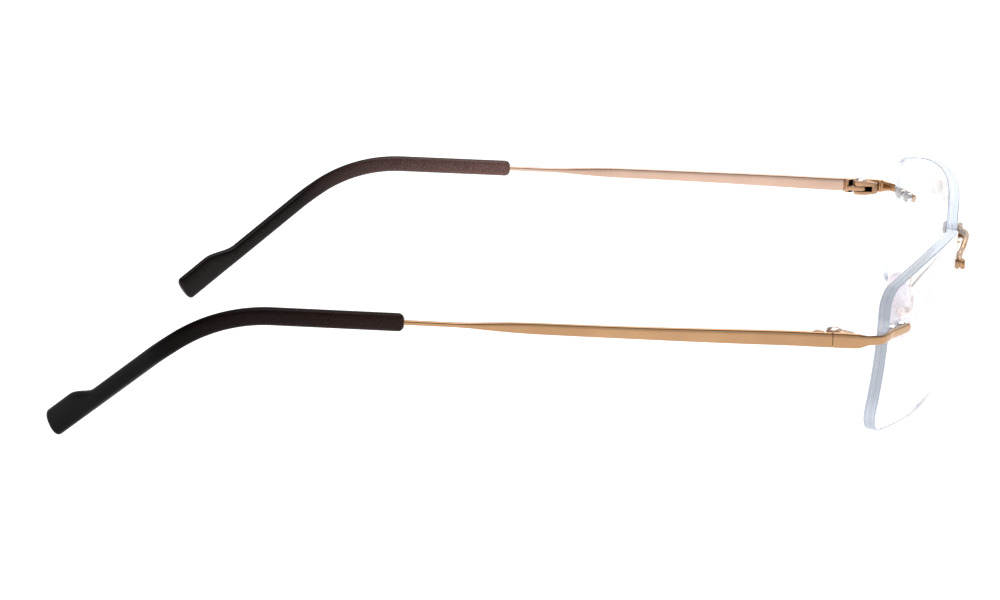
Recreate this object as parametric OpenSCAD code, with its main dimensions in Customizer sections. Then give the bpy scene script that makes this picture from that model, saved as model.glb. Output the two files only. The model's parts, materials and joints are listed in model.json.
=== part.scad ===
// Rimless eyeglasses, temples open, standing on the lower lens edges and the temple tips.
// Millimetres. +X is the wearer's left, -Y is the way the wearer looks, +Z is up.
// Origin: middle of the whole object in X and Y, on the table it stands on.
// Every left piece is modelled once and mirrored for the right side.

/* [Lenses] */
// Width of one lens
lens_w = 55.3; // [50:0.5:58]
// Height of one lens at its middle
lens_h = 28.2; // [26:0.5:32]
// Thickness of a lens
lens_t = 2.0; // [1.6:0.1:2.4]
// Radius of the curved front surface
lens_r = 118; // [100:1:160]
// Rise of the arched top edge over its corners
top_arch = 3.4; // [2:0.1:5]
// Fall of the arched bottom edge under its corners
low_arch = 0.8; // [0.4:0.1:2]
// Radius of the lens corners
corner_r = 4.3; // [3:0.1:6]
// Distance between the two lenses
bridge_gap = 20; // [18:0.5:22]
// Turn of each lens around the face, in degrees
wrap = 10.8; // [8:0.1:12]
// Lean of the lenses, top forward, in degrees
lean = 8.35; // [6:0.05:10]

/* [Temples] */
// Length of a temple along its curve
temple_len = 145; // [140:0.5:150]
// Rise of the straight run towards the ear, in degrees
rise = 3; // [2:0.1:4]
// Height of the blade at the hinge
blade_h = 2.54; // [2.2:0.02:2.6]
// Thickness of the blade at the hinge
blade_t = 1.0; // [0.8:0.05:1.2]
// Diameter of the bare wire behind the blade
wire_d = 0.86; // [0.8:0.02:1]
// Where the sleeve starts, measured along the temple
sleeve_at = 70; // [66:0.1:74]
// Height of the sleeve
sleeve_h = 3.05; // [2.8:0.05:3.4]
// Thickness of the sleeve
sleeve_t = 2.3; // [2.1:0.05:2.6]
// Height of the paddle at the end of the sleeve
paddle_h = 4.85; // [4:0.05:5.2]
// Downward slope of the ear piece, in degrees
drop = 31.7; // [28:0.1:36]
// Inward slope of the ear piece, in degrees
curl = 35; // [30:0.5:38]

/* [Hinges] */
// Reach of the lower knuckle under the middle of the hinge
barrel_low = 1.4; // [1.3:0.05:1.5]
// Reach of the upper knuckle over the middle of the hinge
barrel_top = 1.2; // [1.1:0.05:1.3]
// Radius of the hinge knuckles
barrel_r = 1.3; // [1.2:0.05:1.35]
// Height of the middle knuckle
tongue_h = 0.85; // [0.7:0.05:0.9]
// Diameter of the hinge screw
screw_d = 1.1; // [1:0.05:1.2]

/* [Bridge and nose pads] */
// Thickness of the bridge bar
bar_d = 1.05; // [0.9:0.05:1.2]
// Diameter of the pad arm wire
arm_d = 0.82; // [0.76:0.02:0.9]
// Length of a nose pad
pad_l = 10; // [9.4:0.1:10.6]
// Width of a nose pad
pad_w = 6.2; // [5.8:0.1:6.6]
// Thickness of a nose pad
pad_t = 2.4; // [2.2:0.1:2.6]

/* [Hidden] */
// Middle of the left lens
lens_pos = [bridge_gap / 2 + lens_w * 0.507, -16.66, 13.826];
// Height of the hinge middle, and where the hinge pin stands
hinge_z = 18.75;
pin_x = 68.95;
// Middle of the blade at the hinge
blade_x = 71;
// Inner face of the blade and endpiece, where the hinge blocks are brazed
plate_x = blade_x - blade_t / 2 - 0.02;
// Height of the middle of the hinge tongue, from the middle of the hinge
tongue_mid = -0.25;
// Shift that puts the origin at the middle of the whole length
mid_y = 56.41;
// Gaps: between butted faces, round a running screw, beside the tongue, round a pressed part,
// under a foot
butt = 0.12;
run_gap = 0.03;
side_gap = 0.09;
press = 0.01;
foot_gap = 0.05;
// Lens mounting holes, as places on the lens from its middle
end_pins = [[25.2, 4.3], [21.6, 4.3]];
nose_pins = [[-25.2, 6.5], [-22.0, 6.5]];
hole_r = 0.7;
pin_r = 0.38;
foot_t = 0.9;
// Where a nose pad rocks, and how it is turned
pad_pos = [9.4, -10.6, 10];
pad_tip = -17;
pad_turn = -40;
pad_back = 1.75;
// Back of the pad box, behind the pad screw
box_back = 1.15;
// Plate inside a nose pad
plate_w = 3.2;
plate_l = 5.4;

// Pick one node to export it alone

// ---------- lofting along a curve ----------

function unit(v) = v / norm(v);

// One ring of a loft: a rounded outline of half sizes w and h around c, squarer as p grows
function ring(c, t, up, w, h, p, n) =
    let (side = unit(cross(t, up)), high = cross(side, t))
    [for (k = [0:n - 1])
        let (a = 360 * (k + 0.5) / n, u = cos(a), v = sin(a))
        c + side * w * sign(u) * pow(abs(u), 2 / p)
          + high * h * sign(v) * pow(abs(v), 2 / p)];

// Direction of the curve at each of its points
function tangents(pts) =
    let (m = len(pts) - 1)
    [for (i = [0:m]) unit(pts[min(i + 1, m)] - pts[max(i - 1, 0)])];

// Side faces between ring i and the next, for rings of n points
function band(i, n) =
    [for (k = [0:n - 1]) each
        let (a = i * n + k, b = i * n + (k + 1) % n)
        [[a, b, b + n], [a, b + n, a + n]]];

// A closed solid through a list of rings
module loft(rings) {
    n = len(rings[0]);
    m = len(rings);
    points = [for (r = rings) each r];
    sides = [for (i = [0:m - 2]) each band(i, n)];
    start = [[for (k = [0:n - 1]) n - 1 - k]];
    stop = [[for (k = [0:n - 1]) (m - 1) * n + k]];
    polyhedron(points, concat(start, sides, stop), convexity = 6);
}

// A bar with one size of outline along a list of points
module bar(pts, w, h, p = 2, n = 12, up = [0, 0, 1]) {
    t = tangents(pts);
    loft([for (i = [0:len(pts) - 1]) ring(pts[i], t[i], up, w, h, p, n)]);
}

// A smooth curve of m steps through control points, as a chain of quarter steps
function spline(c, m) =
    let (last = len(c) - 1)
    [for (i = [0:last - 1]) each
        [for (k = [0:(i == last - 1 ? m : m - 1)])
            let (
                u = k / m, a = c[max(i - 1, 0)], b = c[i], d = c[i + 1],
                e = c[min(i + 2, last)]
            )
            0.5 * (2 * b + (d - a) * u + (2 * a - 5 * b + 4 * d - e) * u * u
                + (3 * b - a - 3 * d + e) * u * u * u)]];

// ---------- lens frame ----------

// Puts its children on the left lens: X along it, Y through it, Z up it
module on_lens() {
    translate(lens_pos)
        rotate([0, 0, wrap])
            rotate([lean, 0, 0])
                children();
}

// The same place as a point in space
function lens_point(p) =
    let (
        y = p[1] * cos(lean) - p[2] * sin(lean),
        z = p[1] * sin(lean) + p[2] * cos(lean)
    )
    lens_pos + [p[0] * cos(wrap) - y * sin(wrap), p[0] * sin(wrap) + y * cos(wrap), z];

// Depth of the front surface at a place on the lens
function front(a, b) = lens_r - sqrt(lens_r * lens_r - a * a - b * b);

// A point at a place on the lens, a stated way out in front of its surface
function before_lens(a, b, out) =
    let (n = unit([-a, lens_r - front(a, b), -b]))
    lens_point([a, front(a, b), b] - n * out);

// Points of an arc around c from angle a0 to a1, in m steps
function arc(c, r, a0, a1, m) =
    [for (i = [0:m]) let (a = a0 + (a1 - a0) * i / m) c + r * [cos(a), sin(a)]];

// Right half of an arched edge: half the long arc, then the corner, for a rise s over height z
function arched(z, s) =
    let (
        x = lens_w / 2, r = (x * x + s * s) / (2 * s), c = [0, z - r],
        k = c + [x - corner_r, sqrt(pow(r - corner_r, 2) - pow(x - corner_r, 2))],
        a = atan2(k[1] - c[1], k[0] - c[0])
    )
    concat(
        arc(c, r, 90, a, 12),
        [for (i = [1:9]) let (b = a * (1 - i / 9)) k + corner_r * [cos(b), sin(b)]]
    );

// Outline of a lens, middle at the origin
module lens_outline() {
    top = arched(lens_h / 2, top_arch);
    low = [for (p = arched(lens_h / 2, low_arch)) [p[0], -p[1]]];
    right = concat(top, [for (i = [len(low) - 1:-1:0]) low[i]]);
    n = len(right);
    polygon(concat(right, [for (i = [n - 2:-1:1]) [-right[i][0], right[i][1]]]));
}

// A straight cylinder through the lens at a place on it, from depth y0 to y1
module through(p, r, y0, y1) {
    d = front(p[0], p[1]);
    turn = asin(p[0] / lens_r);
    tilt = asin(p[1] / lens_r);
    translate([p[0], d, p[1]])
        rotate([0, 0, turn])
            rotate([-90 - tilt, 0, 0])
                translate([0, 0, y0])
                    cylinder(r = r, h = y1 - y0, $fn = 48);
}

module lens() {
    on_lens()
        difference() {
            intersection() {
                translate([0, 30, 0])
                    rotate([90, 0, 0])
                        linear_extrude(40)
                            lens_outline();
                translate([0, lens_r, 0])
                    sphere(r = lens_r, $fn = 200);
            }
            translate([0, lens_r, 0])
                sphere(r = lens_r - lens_t, $fn = 200);
            for (p = concat(end_pins, nose_pins))
                through(p, hole_r, -1, lens_t + 1);
        }
}

// Clear lining of a lens hole, with a stepped head behind the lens, bored blind for a pin
module bushing(p) {
    on_lens()
        difference() {
            union() {
                through(p, hole_r - press, 0.04, lens_t + 0.3);
                through(p, 1.05, lens_t + 0.05, lens_t + 0.45);
                through(p, 0.8, lens_t + 0.4, lens_t + 0.8);
            }
            through(p, pin_r + press, -1, lens_t + 0.45);
        }
}

module bushings(places) {
    for (p = places)
        bushing(p);
}

// Pins of a foot, standing in the bushings
module pins(places) {
    on_lens()
        for (p = places)
            through(p, pin_r, -0.5, lens_t + 0.4);
}

// ---------- endpiece, from the lens to the hinge ----------

// Puts its children in the temple frame: Y along the straight run, Z along the hinge pin
module on_hinge() {
    translate([0, 0, hinge_z])
        rotate([rise, 0, 0])
            children();
}

function hinge_point(p) = [
    p[0],
    p[1] * cos(rise) - p[2] * sin(rise),
    hinge_z + p[1] * sin(rise) + p[2] * cos(rise)
];

// Middle line of the endpiece: along the lens front, round the edge and back to the hinge
foot_a = [20.75, 20.9, 21.3, 22.2, 23.6, 25, 26.4, 27.6];
foot_line = [for (a = foot_a) before_lens(a, 4.1, foot_t / 2 + foot_gap)];
neck_line = spline([
    foot_line[6], foot_line[7],
    before_lens(29.6, 3.95, 0.75),
    [68.6, -7.7, 18.2],
    hinge_point([70.05, -6.0, 0]),
    hinge_point([blade_x - 0.12, -4.7, 0]),
    hinge_point([blade_x, -3.7, 0]),
    hinge_point([blade_x, -1.8, 0]),
    hinge_point([blade_x, -butt / 2, 0])
], 4);
neck = [for (i = [4:len(neck_line) - 1]) neck_line[i]];
end_line = concat([for (i = [0:6]) foot_line[i]], neck);

// Half height of the endpiece along its line: round at the foot, taller at the hinge
function end_h(i) =
    i < 3 ? [0.25, 0.5, 0.72][i]
    : let (y = end_line[i][1])
        lookup(y, [[-8, 0.76], [-5.7, 0.8], [-4.9, 1.0], [-4.1, 1.22], [-2.4, blade_h / 2]]);

module endpiece() {
    t = tangents(end_line);
    up = [for (q = end_line)
        lookup(q[1], [[-9, 1], [-4, 0]]) * [0.03, -sin(lean), cos(lean)]
        + lookup(q[1], [[-9, 0], [-4, 1]]) * [0, -sin(rise), cos(rise)]];
    loft([for (i = [0:len(end_line) - 1])
        ring(end_line[i], t[i], up[i],
            lookup(end_line[i][1], [[-9, foot_t / 2], [-4, blade_t / 2]]),
            end_h(i), 4, 16)]);
    pins(end_pins);
    // Upright bead inside the arm, in front of the hinge
    on_hinge()
        translate([plate_x + 0.05, -3.7, -1.05])
            cylinder(r = 0.35, h = 2.1, $fn = 32);
}

// ---------- hinge ----------

module knuckle(z0, z1, r) {
    translate([pin_x, 0, z0])
        cylinder(r = r, h = z1 - z0, $fn = 64);
}

// A plate of the hinge between two heights: a round eye round the pin, and a body beside it
module eye_plate(z0, z1, r, body) {
    translate([0, 0, z0])
        linear_extrude(z1 - z0)
            union() {
                translate([pin_x, 0])
                    circle(r = r, $fn = 64);
                polygon(body);
            }
}

// Fork of two outer knuckles, brazed inside the endpiece, a little lower at its root
module front_hinge() {
    root = -3.3;
    on_hinge()
        difference() {
            intersection() {
                eye_plate(-barrel_low, barrel_top, barrel_r, [
                    [pin_x - barrel_r, 0], [pin_x - 0.6, root], [plate_x, root], [plate_x, 0]
                ]);
                translate([pin_x - 3, 0, 0])
                    rotate([90, 0, 90])
                        linear_extrude(6)
                            polygon([
                                [2, -barrel_low], [2, barrel_top], [-barrel_r, barrel_top],
                                [root, barrel_top - 0.3], [root, 0.3 - barrel_low],
                                [-barrel_r, -barrel_low]
                            ]);
            }
            // Slot for the tongue, and the way for the screw
            translate([pin_x - 3, root + 0.95, tongue_mid - tongue_h / 2 - side_gap])
                cube([3 + barrel_r + 0.03, 6, tongue_h + 2 * side_gap]);
            knuckle(-barrel_low - 1, barrel_top + 1, screw_d / 2 + press);
        }
}

// Wedge block with the tongue, brazed inside the temple
module temple_hinge() {
    r = barrel_r - 0.05;
    on_hinge()
        difference() {
            union() {
                translate([0, 0, -1.3])
                    linear_extrude(2.55)
                        polygon([
                            [plate_x, 1.45], [69.9, 1.5], [69.2, 2.3], [69.1, 2.75], [plate_x, 3.4]
                        ]);
                eye_plate(tongue_mid - tongue_h / 2, tongue_mid + tongue_h / 2, r, [
                    [pin_x + r, 0], [plate_x, 1.5], [plate_x, 2.6], [69.15, 2.6], [pin_x - 0.9, 2.3],
                    [pin_x - r, 0]
                ]);
            }
            knuckle(-barrel_low, barrel_top, screw_d / 2 + run_gap);
        }
}

// Screw with a domed head on the upper knuckle, slotted and pitted
module hinge_screw() {
    seat = barrel_top + 0.01;
    head = 1.22;
    on_hinge()
        difference() {
            translate([pin_x, 0, 0])
                rotate_extrude($fn = 64)
                    polygon(concat(
                        [[0, -barrel_low], [screw_d / 2, -barrel_low], [screw_d / 2, seat], [head, seat]],
                        [for (a = [0:15:75]) [head * cos(a), seat + 0.1 + 0.4 * sin(a)]],
                        [[0, seat + 0.5]]
                    ));
            translate([pin_x - 0.13, -2, seat + 0.28])
                cube([0.26, 4, 1]);
            knuckle(seat + 0.15, seat + 1, 0.24);
        }
}

// ---------- temple ----------

// Slope up and turn out of the temple at a distance s along it, in degrees
bend_at = sleeve_at + 21.9;
bend_end = bend_at + 17.4;
curl_at = sleeve_at + 36.9;
curl_end = curl_at + 8;
function slope(s) = lookup(s, [[0, rise], [bend_at, rise], [bend_end, -drop], [200, -drop]]);
function turn_out(s) =
    lookup(s, [[5, 0], [10, 5.2], [48, 0], [curl_at, 0], [curl_end, -curl], [200, -curl]]);
function heading(s) = [
    cos(slope(s)) * sin(turn_out(s)), cos(slope(s)) * cos(turn_out(s)), sin(slope(s))
];

// Point of the temple's middle line at every half millimetre of it
step = 0.5;
line_n = floor(temple_len / step) + 1;
line_pts = [for (i = 0, p = hinge_point([blade_x, butt / 2, 0]);
    i <= line_n;
    p = p + heading((i + 0.5) * step) * step, i = i + 1) p];
function on_line(s) =
    let (k = s / step, i = min(floor(k), line_n - 1), f = k - i)
    line_pts[i] * (1 - f) + line_pts[i + 1] * f;
function up_at(s) = unit([
    -sin(slope(s)) * sin(turn_out(s)), -sin(slope(s)) * cos(turn_out(s)), cos(slope(s))
]);

// Places along the temple where a ring stands: few on the straight, many in the bends
blade_s = concat(
    [0, 1.5, 3.2, 5, 7.5, 10, 15, 20, 25, 30, 36, 42, 48],
    [50.5, 52.5, 54.5, 56.5, 58.5, 60, 61.5, 63, 66]
);
core_s = concat(
    [sleeve_at, sleeve_at + 7, sleeve_at + 14],
    [for (s = [bend_at - 1:3:bend_end]) s],
    [for (s = [curl_at + 2.5:1.5:curl_end + 1]) s],
    [for (s = [curl_end + 3:4:temple_len - 14]) s]
);
core_end = core_s[len(core_s) - 1];

function blade_half_h(s) = lookup(s, [
    [0, blade_h * 0.5], [13, blade_h * 0.485], [22, blade_h * 0.453], [30, blade_h * 0.42],
    [38, blade_h * 0.4], [49, blade_h * 0.377], [52.5, blade_h * 0.34], [56, blade_h * 0.268],
    [59, wire_d * 0.58], [61.5, wire_d / 2], [200, wire_d / 2]
]);
function blade_half_t(s) = lookup(s, [
    [0, blade_t / 2], [8, blade_t / 2], [40, blade_t * 0.42], [61.5, wire_d / 2], [200, wire_d / 2]
]);
function squareness(s) = lookup(s, [[0, 4], [48, 3.4], [61.5, 2], [200, 2]]);

module temple() {
    s = concat(blade_s, core_s);
    loft([for (q = s)
        ring(on_line(q), heading(q), up_at(q), blade_half_t(q), blade_half_h(q), squareness(q), 12)]);
}

// Where the sleeve starts to grow into the paddle
paddle_at = temple_len - 14;

// Half height of the sleeve at a distance s behind its rounded front
function sleeve_half_h(s) =
    sleeve_h / 2 * lookup(s, [[0, 0.72], [0.25, 0.88], [0.8, 1], [200, 1]])
    + (paddle_h - sleeve_h) / 2 * swell(s + sleeve_at);
// Growth of the paddle at a distance s along the temple, from 0 to 1
function swell(s) =
    let (u = min(1, max(0, (s - paddle_at) / 6.5))) u * u * (3 - 2 * u);

// Outer rings: the sleeve grows upward only, so its lower edge runs on straight
sleeve_s = concat(
    [0, 0.25, 0.8, 3, 9, 15],
    [for (s = [bend_at - sleeve_at - 1:1.6:curl_at - sleeve_at]) s],
    [for (s = [curl_at - sleeve_at + 1:1.4:curl_end - sleeve_at + 1]) s],
    [for (s = [curl_end - sleeve_at + 3:3:paddle_at - sleeve_at]) s],
    [for (s = [paddle_at - sleeve_at + 0.8:1.2:temple_len - sleeve_at - 2.2]) s]
);
// Last rings round the blunt end: [distance from the end, share of the size]
end_round = [[1.3, 1], [0.75, 0.95], [0.3, 0.83], [0.05, 0.62]];

function sleeve_ring(s, f, n) =
    let (
        q = s + sleeve_at, h = sleeve_half_h(s),
        rise_c = (paddle_h - sleeve_h) / 2 * swell(q),
        w = sleeve_t / 2 * lookup(s, [[0, 0.66], [0.25, 0.86], [0.8, 1], [200, 1]])
    )
    ring(on_line(q) + up_at(q) * rise_c, heading(q), up_at(q), w * f, h * f, 2.3, n);

// The sleeve is one shell: outer rings, blunt end, and a blind hole for the wire
module tip_sleeve() {
    n = 20;
    outer = concat(
        [for (s = sleeve_s) sleeve_ring(s, 1, n)],
        [for (e = end_round) sleeve_ring(temple_len - sleeve_at - e[0], e[1], n)]
    );
    hole_s = concat(core_s, [core_end + 0.3]);
    r = wire_d / 2 + 0.03;
    inner = [for (q = hole_s) ring(on_line(q), heading(q), up_at(q), r, r, 2, n)];
    m = len(outer);
    k = len(inner);
    base = m * n;
    points = concat([for (o = outer) each o], [for (o = inner) each o]);
    faces = concat(
        [for (i = [0:m - 2]) each band(i, n)],
        [[for (j = [0:n - 1]) (m - 1) * n + j]],
        [for (i = [0:k - 2]) each [for (f = band(i, n)) [f[0] + base, f[2] + base, f[1] + base]]],
        [[for (j = [0:n - 1]) base + (k - 1) * n + n - 1 - j]],
        [for (j = [0:n - 1]) each
            let (a = j, b = (j + 1) % n)
            [[a, base + a, base + b], [a, base + b, b]]]
    );
    polyhedron(points, faces, convexity = 8);
}

// ---------- bridge ----------

bar_end = before_lens(-26.4, 6.9, 0.6);
bar_left = spline([
    [-5, -20.85, 21.75], [0, -21.15, 22.0], [5, -20.85, 21.75], [8.4, -20.4, 21.15],
    bar_end, before_lens(-23.5, 6.6, 0.5)
], 5);
bar_half = [for (i = [5:len(bar_left) - 4]) bar_left[i]];

// Flat foot on the lens front, from place a0 to a1 along the lens
module lens_foot(a0, a1, b, h) {
    on_lens()
        intersection() {
            translate([0, 20, 0])
                rotate([90, 0, 0])
                    linear_extrude(40)
                        union() {
                            translate([a0 + h / 2, b - h / 2])
                                square([a1 - a0 - h, h]);
                            for (a = [a0 + h / 2, a1 - h / 2])
                                translate([a, b])
                                    circle(d = h, $fn = 48);
                        }
            translate([0, lens_r, 0])
                sphere(r = lens_r + foot_t, $fn = 200);
        }
}

// Foot, its pins, and a knob in front of it that holds the root of the pad arm
knob = [11.9, -20.1, 19.35];
module half_bridge() {
    difference() {
        union() {
            lens_foot(-27.1, -20.9, 6.5, 1.8);
            translate([knob[0], -19.25, knob[2]])
                rotate([90, 0, 0])
                    cylinder(r = 0.95, h = 1.7, $fn = 48);
        }
        on_lens()
            translate([0, lens_r, 0])
                sphere(r = lens_r + foot_gap, $fn = 200);
        translate([knob[0] - 0.6, knob[1], knob[2]])
            rotate([0, -90, 0])
                cylinder(r = arm_d / 2 + press, h = 3, $fn = 32);
    }
    pins(nose_pins);
}

module full_bridge() {
    half_bridge();
    mirror([1, 0, 0])
        half_bridge();
    m = len(bar_half) - 1;
    pts = concat(
        [for (i = [m:-1:1]) [-bar_half[i][0], bar_half[i][1], bar_half[i][2]]],
        bar_half
    );
    bar(pts, bar_d / 2, bar_d / 2 * 1.1, 2.4, 12);
}

// ---------- nose pads ----------

// Puts its children at the left pad's screw: Y along the screw, Z up the pad, -X towards the nose
module on_pad() {
    translate(pad_pos)
        rotate([0, pad_tip, 0])
            rotate([0, 0, pad_turn])
                children();
}

// The same place as a point in space
function pad_point(p) =
    let (
        x = p[0] * cos(pad_turn) - p[1] * sin(pad_turn),
        y = p[0] * sin(pad_turn) + p[1] * cos(pad_turn)
    )
    pad_pos + [x * cos(pad_tip) + p[2] * sin(pad_tip), y, -x * sin(pad_tip) + p[2] * cos(pad_tip)];

// Wire from inside the knob, past the nasal edge of the lens and down to the pad box
arm_line = concat([knob - [0.65, 0, 0]], spline([
    knob - [1.1, 0, 0], [9.5, -19.7, 19.7], [8.95, -18.2, 20.0], [9.0, -16.8, 19.7],
    [9.15, -15.7, 18.6], [9.4, -14.5, 17.5], [9.8, -13.1, 16.2], [10.4, -11.9, 14.8],
    pad_point([2.0, 0, 3.3]), pad_point([1.95, 0, 1.4]),
    pad_point([1.75, 0, 0.1]), pad_point([box_back + 0.06, 0, 0])
], 4));

module pad_arm() {
    bar(arm_line, arm_d / 2, arm_d / 2, 2, 10, [0.2, -1, 0.35]);
}

module pad_box() {
    on_pad()
        difference() {
            translate([-0.9, -1.15, -1])
                cube([box_back + 0.9, 2.3, 2]);
            translate([-1.2, -0.6, -1.2])
                cube([2, 1.2, 2.4]);
            rotate([90, 0, 0])
                cylinder(r = 0.4 + press, h = 4, center = true, $fn = 32);
        }
}

module pad_screw() {
    on_pad()
        rotate([90, 0, 0])
            difference() {
                union() {
                    translate([0, 0, -1.15])
                        cylinder(r = 0.4, h = 2.4, $fn = 32);
                    translate([0, 0, 1.17])
                        cylinder(r = 0.65, h = 0.35, $fn = 32);
                }
                translate([-0.8, -0.1, 1.35])
                    cube([1.6, 0.2, 1]);
            }
}

// Stiff insert: a plate inside the pad, and an eye that the screw passes through
module pad_core() {
    on_pad()
        difference() {
            union() {
                translate([-pad_back - 0.9, -plate_w / 2, -plate_l / 2])
                    cube([0.5, plate_w, plate_l]);
                translate([-pad_back - 0.5, -0.55, -0.7])
                    cube([pad_back + 0.5, 1.1, 1.4]);
                rotate([90, 0, 0])
                    cylinder(r = 0.7, h = 1.1, center = true, $fn = 32);
            }
            rotate([90, 0, 0])
                cylinder(r = 0.4 + run_gap, h = 4, center = true, $fn = 32);
        }
}

// Soft pad: a flat oval pillow with a pocket for the plate
module nose_pad() {
    n = 28;
    steps = [
        [0, 0.8], [0.12, 0.9], [0.4, 0.98], [0.8, 1], [1.2, 0.98], [1.6, 0.9], [1.95, 0.74],
        [2.13, 0.5], [2.2, 0.2]
    ];
    on_pad()
        difference() {
            loft([for (q = steps)
                [for (k = [0:n - 1])
                    let (a = -360 * k / n, g = 1 + 0.1 * sin(a))
                    [-pad_back - q[0] * pad_t / 2.2,
                        cos(a) * pad_w / 2 * q[1] * (1.04 - 0.1 * sin(a)),
                        sin(a) * pad_l / 2 * (1 - (1 - q[1]) * 0.62)]]]);
            translate([-pad_back - 0.92, -plate_w / 2 - 0.02, -plate_l / 2 - 0.02])
                cube([0.54, plate_w + 0.04, plate_l + 0.04]);
            translate([-pad_back - 0.5, -0.57, -0.72])
                cube([pad_back + 1, 1.14, 1.44]);
        }
}

// ---------- placing ----------

// Left side as modelled, right side mirrored
module left() {
    translate([0, -mid_y, 0])
        children();
}

module right() {
    mirror([1, 0, 0])
        left()
            children();
}

module lens_left() { color("#dde4ea") left() lens(); }
module lens_right() { color("#dde4ea") right() lens(); }
module bridge() { color("#c9a07c") left() full_bridge(); }
module bridge_bushings_left() { color("#e8eef2") left() bushings(nose_pins); }
module bridge_bushings_right() { color("#e8eef2") right() bushings(nose_pins); }
module endpiece_left() { color("#c9a07c") left() endpiece(); }
module endpiece_right() { color("#c9a07c") right() endpiece(); }
module endpiece_bushings_left() { color("#e8eef2") left() bushings(end_pins); }
module endpiece_bushings_right() { color("#e8eef2") right() bushings(end_pins); }
module front_hinge_left() { color("#bf9470") left() front_hinge(); }
module front_hinge_right() { color("#bf9470") right() front_hinge(); }
module temple_hinge_left() { color("#bf9470") left() temple_hinge(); }
module temple_hinge_right() { color("#bf9470") right() temple_hinge(); }
module hinge_screw_left() { color("#d8b394") left() hinge_screw(); }
module hinge_screw_right() { color("#d8b394") right() hinge_screw(); }
module temple_left() { color("#c9a07c") left() temple(); }
module temple_right() { color("#c9a07c") right() temple(); }
module tip_sleeve_left() { color("#4a3a36") left() tip_sleeve(); }
module tip_sleeve_right() { color("#4a3a36") right() tip_sleeve(); }
module pad_arm_left() { color("#c9a07c") left() pad_arm(); }
module pad_arm_right() { color("#c9a07c") right() pad_arm(); }
module pad_box_left() { color("#c9a07c") left() pad_box(); }
module pad_box_right() { color("#c9a07c") right() pad_box(); }
module pad_screw_left() { color("#d8b394") left() pad_screw(); }
module pad_screw_right() { color("#d8b394") right() pad_screw(); }
module pad_core_left() { color("#e0d8d4") left() pad_core(); }
module pad_core_right() { color("#e0d8d4") right() pad_core(); }
module nose_pad_left() { color("#efe6e8") left() nose_pad(); }
module nose_pad_right() { color("#efe6e8") right() nose_pad(); }

lens_left();
lens_right();
bridge();
bridge_bushings_left();
bridge_bushings_right();
endpiece_left();
endpiece_right();
endpiece_bushings_left();
endpiece_bushings_right();
front_hinge_left();
front_hinge_right();
temple_hinge_left();
temple_hinge_right();
hinge_screw_left();
hinge_screw_right();
temple_left();
temple_right();
tip_sleeve_left();
tip_sleeve_right();
pad_arm_left();
pad_arm_right();
pad_box_left();
pad_box_right();
pad_screw_left();
pad_screw_right();
pad_core_left();
pad_core_right();
nose_pad_left();
nose_pad_right();
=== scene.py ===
import json
import math

import bmesh
import bpy
import numpy as np
from mathutils import Matrix, Vector


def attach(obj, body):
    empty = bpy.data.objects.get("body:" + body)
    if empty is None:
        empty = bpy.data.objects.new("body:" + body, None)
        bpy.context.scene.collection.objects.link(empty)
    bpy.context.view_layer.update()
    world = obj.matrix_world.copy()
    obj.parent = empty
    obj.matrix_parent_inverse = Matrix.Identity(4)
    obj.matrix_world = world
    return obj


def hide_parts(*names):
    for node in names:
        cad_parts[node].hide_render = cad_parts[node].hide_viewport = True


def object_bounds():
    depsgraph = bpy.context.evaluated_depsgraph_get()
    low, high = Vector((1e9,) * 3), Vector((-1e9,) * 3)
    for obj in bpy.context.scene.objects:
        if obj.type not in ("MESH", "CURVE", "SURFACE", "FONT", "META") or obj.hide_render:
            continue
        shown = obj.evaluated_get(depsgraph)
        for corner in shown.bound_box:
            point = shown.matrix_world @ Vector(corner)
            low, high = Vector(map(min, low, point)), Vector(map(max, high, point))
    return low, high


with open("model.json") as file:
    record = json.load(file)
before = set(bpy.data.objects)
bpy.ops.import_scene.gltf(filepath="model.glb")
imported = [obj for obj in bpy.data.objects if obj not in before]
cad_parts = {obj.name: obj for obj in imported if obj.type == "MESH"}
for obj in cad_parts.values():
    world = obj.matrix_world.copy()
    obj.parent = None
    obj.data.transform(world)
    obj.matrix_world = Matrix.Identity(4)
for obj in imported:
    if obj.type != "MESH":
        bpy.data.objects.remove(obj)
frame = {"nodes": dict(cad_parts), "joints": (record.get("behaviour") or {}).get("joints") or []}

cad_low, cad_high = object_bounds()

# Shapes are drawn in millimetres in the row frame, and turned into metres when their meshes are made.
# The materials, the floor, the light and the camera are in metres.
MM = 0.001
SIDES = {"left": 1, "right": -1}

# The hinge joint gives the hinge pin's place and the rise of the temples.
joints = {j["name"]: j for j in frame["joints"]}
HINGE = np.array(joints["temple_fold_left"]["pos_m"]) / MM
HINGE_AXIS = np.array(joints["temple_fold_left"]["axis"], float)
RISE = math.atan2(-HINGE_AXIS[1], HINGE_AXIS[2])
PAD_AT = np.array(joints["pad_rock_left"]["pos_m"]) / MM

# Lenses
LENS_W, LENS_H, LENS_T, LENS_R = 55.3, 28.2, 2.0, 118.0
TOP_ARCH, LOW_ARCH, CORNER = 3.4, 0.8, 4.3
LENS_AT = np.array([38.037, HINGE[1] - 16.66, 13.826])
WRAP, LEAN = math.radians(10.8), math.radians(8.35)
RIM_BEVEL = 0.16
END_PINS = [(25.2, 4.3), (21.6, 4.3)]
NOSE_PINS = [(-25.2, 6.5), (-22.0, 6.5)]
HOLE_R, PIN_R = 0.7, 0.38

# Temples, by distance along their middle line
TEMPLE_LEN, SLEEVE_AT = 145.0, 70.0
BLADE_X, BLADE_T, WIRE_D = 71.0, 1.0, 0.86
SLEEVE_H, SLEEVE_T, PADDLE_H = 3.05, 2.3, 4.85
DROP, CURL = math.radians(31.7), math.radians(35)
BEND_AT, BEND_END = SLEEVE_AT + 21.9, SLEEVE_AT + 39.3
CURL_AT, CURL_END = SLEEVE_AT + 36.9, SLEEVE_AT + 44.9
PADDLE_AT = TEMPLE_LEN - 14
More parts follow.
